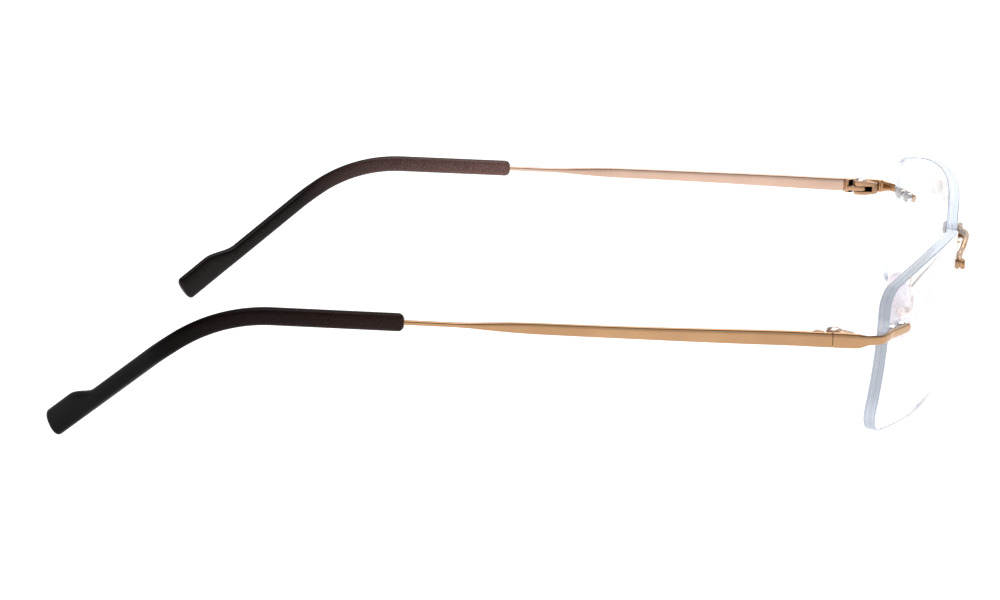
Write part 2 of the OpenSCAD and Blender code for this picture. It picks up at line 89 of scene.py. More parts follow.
# Gap between the end of the blade and the endpiece, and the place of the endpiece's upright bead
BUTT, BEAD_Y = 0.12, -3.7

# Bridge and pads
FOOT_T, FOOT_GAP = 0.9, 0.05
BAR_D, ARM_D = 1.05, 0.82
KNOB = np.array([11.9, HINGE[1] - 20.1, 19.35])
PAD_TIP, PAD_TURN, PAD_BACK = math.radians(-17), math.radians(-40), 1.75
PAD_L, PAD_W, PAD_T = 10.0, 6.2, 2.4

# Floor: half its width, and how far it lies below the part
FLOOR_HALF, FLOOR_GAP = 4.0, 0.0002

# Camera: its place, its yaw, pitch and roll, and its focal length
CAMERA_AT = (-0.691545, -0.082017, 0.155701)
CAMERA_TURN = (7.33, -11.74, -1.81)
CAMERA_LENS = 140.65

# Brightness of the surroundings by the upward part of the direction, 0 level and 1 overhead.
# Below level it stays as it is at level.
SKY = [(0.0, 1.0), (0.1, 0.9), (0.45, 0.8), (0.6, 0.13), (0.84, 0.13), (0.92, 1.3), (0.96, 2.6), (1.0, 2.8)]


# ---------- meshes ----------

def new_piece(name, points, faces, body, material, slot, replaces=(), side=1, sharp=60):
    """A smooth-shaded mesh from points in millimetres, mirrored where side is -1."""
    points = np.array(points, float) * [side * MM, MM, MM]
    if side < 0:
        faces = [tuple(reversed(f)) for f in faces]
    mesh = bpy.data.meshes.new(name)
    mesh.from_pydata(points.tolist(), [], [tuple(f) for f in faces])
    mesh.validate()
    bm = bmesh.new()
    bm.from_mesh(mesh)
    bmesh.ops.recalc_face_normals(bm, faces=bm.faces)
    bm.to_mesh(mesh)
    bm.free()
    mesh.shade_smooth()
    mesh.set_sharp_from_angle(angle=math.radians(sharp))
    mesh.materials.append(material)
    piece = bpy.data.objects.new(name, mesh)
    bpy.context.scene.collection.objects.link(piece)
    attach(piece, body)
    if replaces:
        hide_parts(*replaces)
    return piece


def unit(v):
    return v / np.linalg.norm(v)


def section(centre, along, up, half_w, half_h, power, count):
    """Points of a rounded outline around a point of a curve, squarer as power grows."""
    side = unit(np.cross(along, up))
    high = np.cross(side, along)
    a = (np.arange(count) + 0.5) * 2 * math.pi / count
    across = half_w * np.sign(np.cos(a)) * np.abs(np.cos(a)) ** (2 / power)
    tall = half_h * np.sign(np.sin(a)) * np.abs(np.sin(a)) ** (2 / power)
    return centre + np.outer(across, side) + np.outer(tall, high)


def loft(rings):
    """Points and faces of a closed solid through rings of equally many points."""
    count, n = len(rings), len(rings[0])
    faces = [
        (i * n + k, i * n + (k + 1) % n, (i + 1) * n + (k + 1) % n, (i + 1) * n + k)
        for i in range(count - 1) for k in range(n)
    ]
    faces.append(tuple(range(n - 1, -1, -1)))
    faces.append(tuple((count - 1) * n + k for k in range(n)))
    return np.vstack(rings), faces


def joined(*parts):
    """Several (points, faces) pairs as one."""
    points, faces, start = [], [], 0
    for p, f in parts:
        points.append(p)
        faces += [tuple(i + start for i in face) for face in f]
        start += len(p)
    return np.vstack(points), faces


def tangents(line):
    ahead = np.vstack([line[1:], line[-1:]])
    behind = np.vstack([line[:1], line[:-1]])
    return np.array([unit(v) for v in ahead - behind])


def spline(controls, steps):
    """A smooth curve through control points."""
    c = np.array(controls, float)
    padded = np.vstack([c[:1], c, c[-1:]])
    line = []
    for i in range(len(c) - 1):
        a, b, d, e = padded[i:i + 4]
        for u in np.arange(steps) / steps:
            line.append(0.5 * (2 * b + (d - a) * u + (2 * a - 5 * b + 4 * d - e) * u ** 2
                               + (3 * b - a - 3 * d + e) * u ** 3))
    return np.array(line + [c[-1]])


def bar(line, half_w, half_h, power=2, count=24, up=(0, 0, 1)):
    """A bar of one outline along a line, with softly rounded ends."""
    t = tangents(line)
    up = np.array(up, float)
    rings = [section(p, d, up, half_w, half_h, power, count) for p, d in zip(line, t)]
    shrink = [(0.35, 0.99), (0.12, 0.9), (0.0, 0.7)]
    start = [section(line[0] - t[0] * 0.4 * half_h * (1 - g), t[0], up, half_w * f, half_h * f,
                     power, count) for g, f in shrink]
    end = [section(line[-1] + t[-1] * 0.4 * half_h * (1 - g), t[-1], up, half_w * f, half_h * f,
                   power, count) for g, f in shrink]
    return loft(start[::-1] + rings + end)


def lathe(profile, place, count=48):
    """A turned solid from (distance along, radius) pairs. place maps local points to the frame."""
    a = np.arange(count) * 2 * math.pi / count
    rings = [
        place(np.column_stack([r * np.cos(a), r * np.sin(a), np.full(count, z)]))
        for z, r in profile
    ]
    return loft(rings)


# ---------- lens frame ----------

def turn(axis, angle):
    return np.array(Matrix.Rotation(angle, 3, axis))


LENS_TURN = turn("Z", WRAP) @ turn("X", LEAN)


def lens_point(p):
    """A place on the left lens, X along it, Y through it and Z up it, as frame points."""
    return LENS_AT + np.atleast_2d(p) @ LENS_TURN.T


def depth(a, b, into=0.0):
    """Depth of the lens surface, or of the surface that lies further in, at a place."""
    return LENS_R - np.sqrt((LENS_R - into) ** 2 - a ** 2 - b ** 2)


def surface(flat, into):
    """Local points of the lens surface, or of one that lies further in, over flat places."""
    return np.column_stack([flat[:, 0], depth(flat[:, 0], flat[:, 1], into), flat[:, 1]])


def into_lens(a, b):
    """Direction straight into the lens at a place."""
    return unit(np.array([-a, LENS_R - depth(a, b), -b]))


def before_lens(a, b, out):
    """A point a stated way out in front of the lens."""
    return lens_point(np.array([a, depth(a, b), b]) - into_lens(a, b) * out)[0]


def through_lens(a, b):
    """Places local points on a line through the lens, Z going from front to back."""
    inward = into_lens(a, b)
    side = unit(np.cross(inward, [0, 0, 1]))
    high = np.cross(side, inward)
    at = np.array([a, depth(a, b), b])
    return lambda p: lens_point(at + p @ np.array([side, -high, inward]))


def arched(height, rise, arc_steps, corner_steps):
    """Right half of an arched lens edge, from its middle to the end of its corner."""
    x = LENS_W / 2
    r = (x * x + rise * rise) / (2 * rise)
    centre = np.array([0, height - r])
    knee = centre + [x - CORNER, math.sqrt((r - CORNER) ** 2 - (x - CORNER) ** 2)]
    end = math.atan2(knee[1] - centre[1], knee[0])
    long_arc = np.linspace(math.pi / 2, end, arc_steps + 1)
    corner = np.linspace(end, 0, corner_steps + 1)[1:]
    return np.vstack([
        centre + r * np.column_stack([np.cos(long_arc), np.sin(long_arc)]),
        knee + CORNER * np.column_stack([np.cos(corner), np.sin(corner)]),
    ])


def lens_outline():
    top = arched(LENS_H / 2, TOP_ARCH, 34, 16)
    low = arched(LENS_H / 2, LOW_ARCH, 34, 16) * [1, -1]
    side_steps = np.linspace(0, 1, 14)[1:-1, None]
    right = np.vstack([top, top[-1] + side_steps * (low[-1] - top[-1]), low[::-1]])
    left = right[1:-1][::-1] * [-1, 1]
    return np.vstack([right, left])


def outline_normals(outline):
    ahead = np.roll(outline, -1, axis=0) - np.roll(outline, 1, axis=0)
    normal = np.column_stack([-ahead[:, 1], ahead[:, 0]])
    return normal / np.linalg.norm(normal, axis=1)[:, None]


def lens_shell():
    """Points and faces of a lens of even thickness with a bevelled rim, and which faces are the rim."""
    edge = lens_outline()
    inward = -outline_normals(edge)
    inset = edge + inward * RIM_BEVEL
    support = edge + inward * (RIM_BEVEL + 0.12)
    shares = np.linspace(0.02, 1, 22)[:-1]
    face_rings = [support * s for s in shares] + [support, inset]
    front = [surface(r, 0) for r in face_rings]
    back = [surface(r, LENS_T) for r in face_rings]
    wall = [surface(edge, s) for s in
            (RIM_BEVEL, RIM_BEVEL + 0.1, LENS_T / 2, LENS_T - RIM_BEVEL - 0.1, LENS_T - RIM_BEVEL)]
    points, faces = loft(front + wall + back[::-1])
    first, last = (len(front) - 1) * len(edge), (len(front) + len(wall)) * len(edge)
    return lens_point(points), faces, range(first, last)


# ---------- hinge frame ----------

HINGE_TURN = turn("X", RISE)


def hinge_point(p):
    """A place from the hinge's middle height over the middle of the object, Y along the temple."""
    return np.array([0, HINGE[1], HINGE[2]]) + HINGE_TURN @ np.array(p, float)


def endpiece():
    """The arm from the front of the lens, round its edge, to the hinge."""
    line = spline(
        [before_lens(a, 4.1, FOOT_T / 2 + FOOT_GAP) for a in (20.75, 21.3, 22.2, 23.6, 25, 26.4, 27.6)]
        + [before_lens(29.6, 3.95, 0.75), np.array([68.6, HINGE[1] - 7.7, 18.2])]
        + [hinge_point([BLADE_X + x, y, 0]) for x, y in
           ((-0.95, -6.0), (-0.12, -4.7), (0, BEAD_Y), (0, -1.8), (0, -BUTT / 2))],
        7,
    )
    t = tangents(line)
    rings = []
    run = 0.0
    for i, (p, d) in enumerate(zip(line, t)):
        if i:
            run += np.linalg.norm(line[i] - line[i - 1])
        y = p[1] - HINGE[1]
        start = math.sqrt(max(0.3, 1 - (1 - min(1, run / 0.35)) ** 2))
        half_h = start * np.interp(y, [-8, -5.7, -4.9, -4.1, -2.4], [0.76, 0.8, 1.0, 1.22, 1.27])
        half_w = np.interp(y, [-9, -4], [FOOT_T / 2, BLADE_T / 2]) * (0.8 + 0.2 * start)
        share = np.interp(y, [-9, -4], [0, 1])
        up = (1 - share) * np.array([0.03, -math.sin(LEAN), math.cos(LEAN)]) + share * HINGE_TURN[:, 2]
        rings.append(section(p, d, up, half_w, half_h, 2.9, 32))
    bead_at = [BLADE_X - BLADE_T / 2 + 0.03, BEAD_Y, 0]
    bead = lathe([(-1.05, 0.2), (-1.03, 0.29), (-0.97, 0.35), (0.97, 0.35), (1.03, 0.29), (1.05, 0.2)],
                 lambda p: np.array([hinge_point(q + bead_at) for q in p]), 24)
    return joined(loft(rings), bead, *[pin(a, b) for a, b in END_PINS])


def pin(a, b):
    """Pin of a foot, through the lining of its hole."""
    return lathe([(-0.5, PIN_R), (LENS_T + 0.3, PIN_R), (LENS_T + 0.4, 0.3)], through_lens(a, b), 20)


def bushing(a, b):
    """Clear lining of a lens hole, with a domed head behind the lens."""
    return lathe(
        [(0.04, HOLE_R - 0.03), (LENS_T + 0.03, HOLE_R - 0.03), (LENS_T + 0.05, 0.98),
         (LENS_T + 0.12, 1.05), (LENS_T + 0.32, 1.05), (LENS_T + 0.42, 0.98), (LENS_T + 0.46, 0.84),
         (LENS_T + 0.62, 0.78), (LENS_T + 0.73, 0.66), (LENS_T + 0.79, 0.42), (LENS_T + 0.8, 0.12)],
        through_lens(a, b))


# ---------- temples ----------

def slope(s):
    return np.interp(s, [0, BEND_AT, BEND_END], [RISE, RISE, -DROP])


def turn_out(s):
    return np.interp(s, [5, 10, 48, CURL_AT, CURL_END], [0, math.radians(5.2), 0, 0, -CURL])


def heading(s):
    return np.array([
        math.cos(slope(s)) * math.sin(turn_out(s)),
        math.cos(slope(s)) * math.cos(turn_out(s)),
        math.sin(slope(s)),
    ])


def up_at(s):
    return np.array([
        -math.sin(slope(s)) * math.sin(turn_out(s)),
        -math.sin(slope(s)) * math.cos(turn_out(s)),
        math.cos(slope(s)),
    ])


STEP = 0.25
line_points = [hinge_point([BLADE_X, BUTT / 2, 0])]
for i in range(int(TEMPLE_LEN / STEP) + 1):
    line_points.append(line_points[-1] + heading((i + 0.5) * STEP) * STEP)
line_points = np.array(line_points)
line_along = np.arange(len(line_points)) * STEP


def on_line(s):
    return np.array([np.interp(s, line_along, line_points[:, k]) for k in range(3)])


def smooth(u):
    u = np.clip(u, 0, 1)
    return u * u * (3 - 2 * u)


def temple():
    """Blade that thins into a round wire, which ends inside the sleeve."""
    rings = []
    places = np.concatenate([[0, 0.06], np.arange(0.3, 5, 0.5), np.arange(5, 48, 1.2),
                             np.arange(48, 63, 0.5), np.arange(63, SLEEVE_AT + 3, 1)])
    for s in places:
        half_h = np.interp(s, [0, 13, 22, 30, 38, 49, 52.5, 56, 59, 61.5],
                           [1.27, 1.232, 1.151, 1.067, 1.016, 0.958, 0.864, 0.681, 0.5, 0.43])
        half_t = np.interp(s, [8, 40, 61.5], [BLADE_T / 2, 0.42, WIRE_D / 2])
        power = np.interp(s, [0, 48, 61.5], [2.9, 2.8, 2])
        edge = 0.94 if s == 0 else 1
        rings.append(section(on_line(s), heading(s), up_at(s), half_t * edge, half_h * edge, power, 32))
    return loft(rings)


def sleeve_ring(s, share, count=40):
    """Outline of the sleeve at a distance behind its front. The paddle grows upward only."""
    q = s + SLEEVE_AT
    growth = (PADDLE_H - SLEEVE_H) / 2 * smooth((q - PADDLE_AT) / 6.5)
    front = math.sqrt(1 - (1 - min(1, (s + 0.12) / 1.0)) ** 2)
    half_h = SLEEVE_H / 2 * front + growth
    half_w = SLEEVE_T / 2 * (0.4 + 0.6 * front)
    return section(on_line(q) + up_at(q) * growth, heading(q), up_at(q),
                   half_w * share, half_h * share, 2.3, count)


def tip_sleeve():
    """Ear sleeve with a rounded front and a blunt paddle at its end."""
    length = TEMPLE_LEN - SLEEVE_AT
    rings = [section(on_line(SLEEVE_AT), heading(SLEEVE_AT), up_at(SLEEVE_AT), WIRE_D / 2 + 0.02,
                     WIRE_D / 2 + 0.02, 2, 40)]
    for s in np.concatenate([[0, 0.06, 0.15, 0.3, 0.5, 0.75, 1.0], np.arange(1.5, length - 1.3, 0.6)]):
        rings.append(sleeve_ring(s, 1))
    for u in (0, 0.15, 0.3, 0.45, 0.6, 0.72, 0.82, 0.9, 0.95, 0.98, 0.997):
        rings.append(sleeve_ring(length - 1.3 * (1 - u), (1 - u ** 3) ** (1 / 3)))
    return loft(rings)


# ---------- bridge ----------

def half_bar_controls():
    end = before_lens(-26.4, 6.9, 0.6)
    y = HINGE[1]
    return [np.array([5, y - 20.85, 21.75]), np.array([8.4, y - 20.4, 21.15]), end,
            before_lens(-23.9, 6.6, 0.5)]


def stadium(a0, a1, b, h, steps=12):
    """Outline of a flat foot with round ends, clockwise."""
    r = h / 2
    up = np.linspace(math.pi / 2, -math.pi / 2, steps + 1)
    down = np.linspace(-math.pi / 2, -3 * math.pi / 2, steps + 1)
    return np.vstack([
        np.column_stack([a1 - r + r * np.cos(up), b + r * np.sin(up)]),
        np.column_stack([a0 + r + r * np.cos(down), b + r * np.sin(down)]),
    ])


def lens_foot(a0, a1, b, h):
    """Flat foot lying on the front of the lens, with softened edges."""
    edge = stadium(a0, a1, b, h)
    middle = edge.mean(axis=0)
    inward = -outline_normals(edge)
    levels = [(0.45, FOOT_T), (0.26, FOOT_T), (0.13, FOOT_T - 0.04), (0.04, FOOT_T - 0.12),
              (0, FOOT_T - 0.26), (0, 0.1), (0.06, FOOT_GAP)]
    centre = surface(middle + (edge - middle) * 0.08, -FOOT_T)
    rings = [centre] + [surface(edge + inward * inset, -out) for inset, out in levels]
    return loft([lens_point(ring) for ring in rings])


def half_bridge():
    """Foot, its pins, and the grooved knob that holds the pad arm."""
    y0 = HINGE[1] - 19.25

    def along_y(p):
        return np.column_stack([KNOB[0] + p[:, 0], y0 - p[:, 2], KNOB[2] + p[:, 1]])

    knob = lathe([(0, 0.9), (0.5, 0.95), (0.56, 0.92), (0.62, 0.7), (0.84, 0.7), (0.9, 0.92), (0.96, 0.95),
                  (1.45, 0.95), (1.6, 0.88), (1.68, 0.72), (1.7, 0.5), (1.7, 0.1)], along_y)
    return joined(lens_foot(-27.1, -20.9, 6.5, 1.8), knob, *[pin(a, b) for a, b in NOSE_PINS])


def mirrored(part):
    points, faces = part
    return points * [-1, 1, 1], [tuple(reversed(f)) for f in faces]


def bridge():
    half = half_bar_controls()
    middle = np.array([0, HINGE[1] - 21.15, 22.0])
    controls = [p * [-1, 1, 1] for p in half[::-1]] + [middle] + half
    return joined(half_bridge(), mirrored(half_bridge()),
                  bar(spline(controls, 10), BAR_D / 2, BAR_D / 2 * 1.1, 2.4))


# ---------- nose pads ----------

PAD_PLACE = turn("Y", PAD_TIP) @ turn("Z", PAD_TURN)


def pad_point(p):
    """A place from the pad's screw: Y along the screw, Z up the pad, -X towards the nose."""
    return PAD_AT + np.atleast_2d(p) @ PAD_PLACE.T


def pad_arm():
    """Wire from the knob, past the nasal edge of the lens and down to the pad box."""
    y = HINGE[1]
    controls = [KNOB - [1.1, 0, 0]] + [np.array([a, y + b, c]) for a, b, c in (
        (9.5, -19.7, 19.7), (8.95, -18.2, 20.0), (9.0, -16.8, 19.7), (9.15, -15.7, 18.6),
        (9.4, -14.5, 17.5), (9.8, -13.1, 16.2), (10.4, -11.9, 14.8))]
    controls += [pad_point(p)[0] for p in
                 ([2.0, 0, 3.3], [1.95, 0, 1.4], [1.75, 0, 0.1], [1.21, 0, 0])]
    line = np.vstack([KNOB - [0.65, 0, 0], spline(controls, 9)])
    return bar(line, ARM_D / 2, ARM_D / 2, 2, 20, (0.2, -1, 0.35))


def nose_pad():
    """Soft oval pillow, a little wider at its lower end."""
    steps = np.linspace(0, 1, 15)
    count = 56
    a = -2 * math.pi * np.arange(count) / count
    rings = []
    for u in np.concatenate([[0.0], steps[1:-1], [0.995]]):
        bulge = (1 - abs(2 * u - 0.72) ** 2.6 / 1.28 ** 2.6) if u > 0.36 else (1 - (0.36 - u) ** 2 * 1.6)
        size = math.sqrt(max(bulge, 0.012))
        rings.append(np.column_stack([
            np.full(count, -PAD_BACK - u * PAD_T),
            np.cos(a) * PAD_W / 2 * size * (1.04 - 0.1 * np.sin(a)),
            np.sin(a) * PAD_L / 2 * (1 - (1 - size) * 0.62),
        ]))
    points, faces = loft(rings)
    return pad_point(points), faces


# ---------- exact CAD nodes, welded and bevelled ----------

def refined(name, bevel, body, material, label, in_painted_shade=None):
    """A copy of a CAD node with its hard edges softened, which stands for the node.

    The last argument tells from a corner's place by the hinge pin whether it lies in a recess; faces there
    get painted shade, a near-black colour standing in for the shade in the recess.
    """
    bm = bmesh.new()
    bm.from_mesh(frame["nodes"][name].data)
    bmesh.ops.scale(bm, vec=(1 / MM,) * 3, verts=bm.verts)
    bmesh.ops.remove_doubles(bm, verts=bm.verts, dist=1e-4)
    bmesh.ops.dissolve_limit(bm, angle_limit=math.radians(1), verts=bm.verts, edges=bm.edges)
    hard = [e for e in bm.edges if len(e.link_faces) == 2 and e.calc_face_angle() > math.radians(35)]
    bmesh.ops.bevel(bm, geom=hard, offset=bevel, segments=2, profile=0.5, affect="EDGES",
                    clamp_overlap=True)
    if in_painted_shade:
        sign = 1 if label.endswith("left") else -1
        for face in bm.faces:
            corners = np.array([v.co for v in face.verts]) * [sign, 1, 1] - [0, HINGE[1], HINGE[2]]
            if all(in_painted_shade(*p) for p in corners @ HINGE_TURN - [HINGE[0], 0, 0]):
                # Painted shade on the faces inside the recess.
                face.material_index = 1
    bmesh.ops.scale(bm, vec=(MM,) * 3, verts=bm.verts)
    mesh = bpy.data.meshes.new(label)
    bm.to_mesh(mesh)
    bm.free()
    mesh.shade_smooth()
    mesh.set_sharp_from_angle(angle=math.radians(40))
    mesh.materials.append(material)
    if in_painted_shade:
        mesh.materials.append(PAINTED_SHADE)
    piece = bpy.data.objects.new(label, mesh)
    bpy.context.scene.collection.objects.link(piece)
    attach(piece, body)
    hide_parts(name)
    return piece


# ---------- materials ----------

class Nodes:
    """A material's node tree with short ways to add and link nodes."""

    def __init__(self, name):
        self.material = bpy.data.materials.new(name)
        self.material.use_nodes = True
        self.tree = self.material.node_tree
        self.tree.nodes.clear()
        self.shader = self.add("ShaderNodeBsdfPrincipled")
        self.out = self.add("ShaderNodeOutputMaterial")
        self.link(self.shader, "BSDF", self.out, "Surface")
        self.place = self.add("ShaderNodeTexCoord")

    def add(self, kind, **values):
        node = self.tree.nodes.new(kind)
        for key, value in values.items():
            if key in node.inputs:
                node.inputs[key].default_value = value
            else:
                setattr(node, key, value)
        return node

    def link(self, a, out, b, into):
        self.tree.links.new(a.outputs[out], b.inputs[into])

    def set(self, **values):
        for key, value in values.items():
            self.shader.inputs[key.replace("_", " ")].default_value = value

    def noise(self, scale, detail=3.0, stretch=(1, 1, 1)):
        spread = self.add("ShaderNodeMapping")
        spread.inputs["Scale"].default_value = stretch
        grain = self.add("ShaderNodeTexNoise", Scale=scale, Detail=detail)
        self.link(self.place, "Object", spread, "Vector")
        self.link(spread, "Vector", grain, "Vector")
        return grain

    def ramp(self, source, stops, into):
        ramp = self.add("ShaderNodeValToRGB")
        ramp.color_ramp.elements[0].position = stops[0][0]
        ramp.color_ramp.elements[0].color = stops[0][1]
        ramp.color_ramp.elements[-1].position = stops[-1][0]
        ramp.color_ramp.elements[-1].color = stops[-1][1]
        for at, colour in stops[1:-1]:
            ramp.color_ramp.elements.new(at).color = colour
        self.link(source, "Fac", ramp, "Fac")
        self.link(ramp, "Color", self.shader, into)
        return ramp

    def spread(self, source, out, low, high, start=0.0, end=1.0):
        """A node whose value goes from low to high while a source goes from start to end."""
        spread = self.add("ShaderNodeMapRange")
        for socket, value in (("From Min", start), ("From Max", end), ("To Min", low), ("To Max", high)):
            spread.inputs[socket].default_value = value
        self.link(source, out, spread, "Value")
        return spread

    def roughness(self, source, low, high):
        self.link(self.spread(source, "Fac", low, high), "Result", self.shader, "Roughness")

    def bump(self, source, height):
        bump = self.add("ShaderNodeBump", Strength=1.0, Distance=height)
        self.link(source, "Fac", bump, "Height")
        self.link(bump, "Normal", self.shader, "Normal")


def rgb(r, g, b):
    """A colour given as it is seen on a screen, from 0 to 255."""
    def linear(c):
        c /= 255
        return c / 12.92 if c <= 0.04045 else ((c + 0.055) / 1.055) ** 2.4
    return (linear(r), linear(g), linear(b), 1)


def plated_metal(name, light, dark, low, high, stretch=(1, 1, 1)):
    """Satin plating: slow colour drift, fine grain in the roughness and a faint bump."""
    m = Nodes(name)
    m.set(Metallic=1.0)
    drift = m.noise(90, 2)
    m.ramp(drift, [(0.35, dark), (0.65, light)], "Base Color")
    grain = m.noise(1400, 4, stretch)
    m.roughness(grain, low, high)
    m.bump(grain, 0.000002)
    return m.material


def lens_resin():
    m = Nodes("lens_resin")
    m.set(Transmission_Weight=1.0, IOR=1.27)
    m.ramp(m.noise(30, 1), [(0.3, (0.94, 0.955, 0.975, 1)), (0.7, (0.955, 0.965, 0.98, 1))], "Base Color")
    m.roughness(m.noise(60, 2), 0.0, 0.012)
    return m.material


def ground_rim():
    """Satin edge of a lens with a painted glow, a faint emission standing in for light, and fine lines
    round it at even depths.
    """
    m = Nodes("ground_rim")
    # Painted glow: the emission makes the edge give light though it is no lamp.
    m.set(Transmission_Weight=0.55, IOR=1.3, Emission_Color=(0.86, 0.93, 1.0, 1), Emission_Strength=0.15)
    split = m.add("ShaderNodeSeparateXYZ")
    size = m.add("ShaderNodeMath", operation="ABSOLUTE")
    place = m.add("ShaderNodeCombineXYZ")
    gap = m.add("ShaderNodeVectorMath", operation="DISTANCE")
    gap.inputs[1].default_value = (lens_point([0, LENS_R, 0])[0] * MM).tolist()
    m.link(m.place, "Object", split, "Vector")
    m.link(split, "X", size, 0)
    m.link(size, "Value", place, "X")
    m.link(split, "Y", place, "Y")
    m.link(split, "Z", place, "Z")
    m.link(place, "Vector", gap, 0)
    lines = m.add("ShaderNodeTexNoise", Scale=3400.0, Detail=2.0)
    lines.noise_dimensions = "1D"
    m.link(gap, "Value", lines, "W")
    m.ramp(lines, [(0.34, rgb(178, 190, 216)), (0.46, rgb(226, 234, 248)), (0.7, rgb(240, 245, 254))],
           "Base Color")
    m.roughness(lines, 0.4, 0.2)
    m.bump(lines, 0.00001)
    return m.material


def clear_plastic():
    m = Nodes("clear_plastic")
    m.set(Transmission_Weight=0.45, IOR=1.6)
    m.ramp(m.noise(300, 2), [(0.3, rgb(238, 240, 248)), (0.7, rgb(248, 249, 253))], "Base Color")
    m.roughness(m.noise(900, 3), 0.02, 0.06)
    return m.material


def pearl_brown(name, dark, light, gloss, sheen):
    """Moulded sleeve: brown lacquer with a fine pearl speckle, darker towards the paddle."""
    m = Nodes(name)
    m.set(Specular_IOR_Level=gloss, IOR=1.5, Sheen_Weight=sheen, Sheen_Roughness=0.25,
          Sheen_Tint=(1.0, 0.86, 0.86, 1))
    speckle = m.noise(5200, 2)
    tint = m.add("ShaderNodeValToRGB")
    tint.color_ramp.elements[0].position, tint.color_ramp.elements[0].color = 0.35, dark
    tint.color_ramp.elements[1].position, tint.color_ramp.elements[1].color = 0.7, light
    split = m.add("ShaderNodeSeparateXYZ")
    m.link(m.place, "Object", split, "Vector")
    fade = m.spread(split, "Y", 1.0, 0.03, 0.01, 0.056)
    shade = m.add("ShaderNodeVectorMath", operation="SCALE")
    m.link(speckle, "Fac", tint, "Fac")
    m.link(tint, "Color", shade, "Vector")
    m.link(fade, "Result", shade, "Scale")
    m.link(shade, "Vector", m.shader, "Base Color")
    m.roughness(m.noise(2600, 3), 0.18, 0.32)
    m.bump(speckle, 0.000003)
    return m.material


def silicone():
    """Soft milky plastic that lets some light through, with a painted glow: a faint emission standing in
    for light.
    """
    m = Nodes("silicone")
    # Painted glow: the emission makes the pad give light though it is no lamp.
    m.set(Transmission_Weight=0.25, IOR=1.41, Emission_Color=(0.95, 0.93, 1.0, 1), Emission_Strength=0.1)
    m.ramp(m.noise(200, 2), [(0.3, rgb(248, 236, 246)), (0.7, rgb(252, 245, 252))], "Base Color")
    grain = m.noise(4200, 3)
    m.roughness(grain, 0.2, 0.34)
    m.bump(grain, 0.0000003)
    return m.material


def stiff_insert():
    m = Nodes("stiff_insert")
    m.set(Transmission_Weight=0.4, IOR=1.49)
    m.ramp(m.noise(400, 2), [(0.3, (0.84, 0.8, 0.8, 1)), (0.7, (0.93, 0.9, 0.9, 1))], "Base Color")
    m.roughness(m.noise(1500, 2), 0.15, 0.3)
    return m.material


def painted_shade_recess():
    """Painted shade: near-black metal colour for the faces at the bottom of slots and notches, standing in
    for the shade there.
    """
    m = Nodes("painted_shade_recess")
    m.set(Metallic=0.3, Specular_IOR_Level=0.1)
    m.ramp(m.noise(900, 2), [(0.3, rgb(10, 7, 6)), (0.7, rgb(26, 18, 15))], "Base Color")
    m.roughness(m.noise(1500, 2), 0.6, 0.8)
    return m.material


BRUSHED = (1, 0.12, 1)
ROSE = plated_metal("rose_gold", rgb(182, 144, 108), rgb(172, 134, 99), 0.18, 0.28, BRUSHED)
# Painted light: a lighter, pinker copy of the rose gold for the faces that look at the wearer's head.
ROSE_INNER_PAINTED_LIGHT = plated_metal("rose_gold_inner_painted_light", rgb(204, 173, 155), rgb(194, 163, 145), 0.24, 0.34, BRUSHED)
HINGE_METAL = plated_metal("rose_gold_hinge", rgb(188, 150, 118), rgb(174, 134, 102), 0.2, 0.3)
SCREW = plated_metal("turned_screw", rgb(232, 208, 196), rgb(216, 190, 176), 0.16, 0.28)
PALE_WIRE = plated_metal("polished_wire", rgb(252, 240, 236), rgb(242, 226, 220), 0.22, 0.32)
# Painted shade for the faces inside slots and notches.
PAINTED_SHADE = painted_shade_recess()
LENS = lens_resin()
RIM = ground_rim()
PLASTIC = clear_plastic()
SLEEVE = pearl_brown("pearl_brown_outer", rgb(26, 15, 12), rgb(58, 41, 37), 0.06, 0.03)
# Painted light: a lighter, glossier copy of the sleeve brown for the faces that look at the wearer's head.
SLEEVE_INNER_PAINTED_LIGHT = pearl_brown("pearl_brown_inner_painted_light", rgb(82, 56, 52), rgb(138, 104, 98), 0.15, 0.06)
PAD = silicone()
INSERT = stiff_insert()


# ---------- the object ----------

def both(name, shape, body, material, slot, replaces, sharp=60, inner=None):
    """One piece on each side, the right one mirrored.

    inner is a lighter copy of the finish, with painted light, for the faces that look at the wearer's head.
    """
    points, faces = shape
    made = []
    for side, sign in SIDES.items():
        piece = new_piece(f"{name}_{side}", points, faces, body.format(side=side), material, slot,
                          [r.format(side=side) for r in replaces], sign, sharp)
        if inner:
            piece.data.materials.append(inner)
            for face in piece.data.polygons:
                face.material_index = int(face.normal.x * sign < -0.3)
        made.append(piece)
    return made


def cut_holes(lens, sign):
    """Bores the four mounting holes through a lens."""
    points, faces = joined(*[
        lathe([(-1, HOLE_R), (LENS_T + 1, HOLE_R)], through_lens(a, b), 40)
        for a, b in END_PINS + NOSE_PINS])
    if sign < 0:
        faces = [tuple(reversed(f)) for f in faces]
    mesh = bpy.data.meshes.new("drill")
    mesh.from_pydata((points * [sign * MM, MM, MM]).tolist(), [], faces)
    drill = bpy.data.objects.new("drill", mesh)
    bpy.context.scene.collection.objects.link(drill)
    cut = lens.modifiers.new("holes", "BOOLEAN")
    cut.object = drill
    cut.operation = "DIFFERENCE"
    cut.solver = "EXACT"
    bored = bpy.data.meshes.new_from_object(lens.evaluated_get(bpy.context.evaluated_depsgraph_get()))
    lens.modifiers.clear()
    lens.data = bored
    bpy.data.objects.remove(drill)


shell_points, shell_faces, rim_faces = lens_shell()
lenses = both("clear_lens", (shell_points, shell_faces), "front", LENS, "clear_lens", ["lens_{side}"], 30)
for lens, sign in zip(lenses, SIDES.values()):
    lens.data.materials.append(RIM)
    for i in rim_faces:
        lens.data.polygons[i].material_index = 1
    cut_holes(lens, sign)

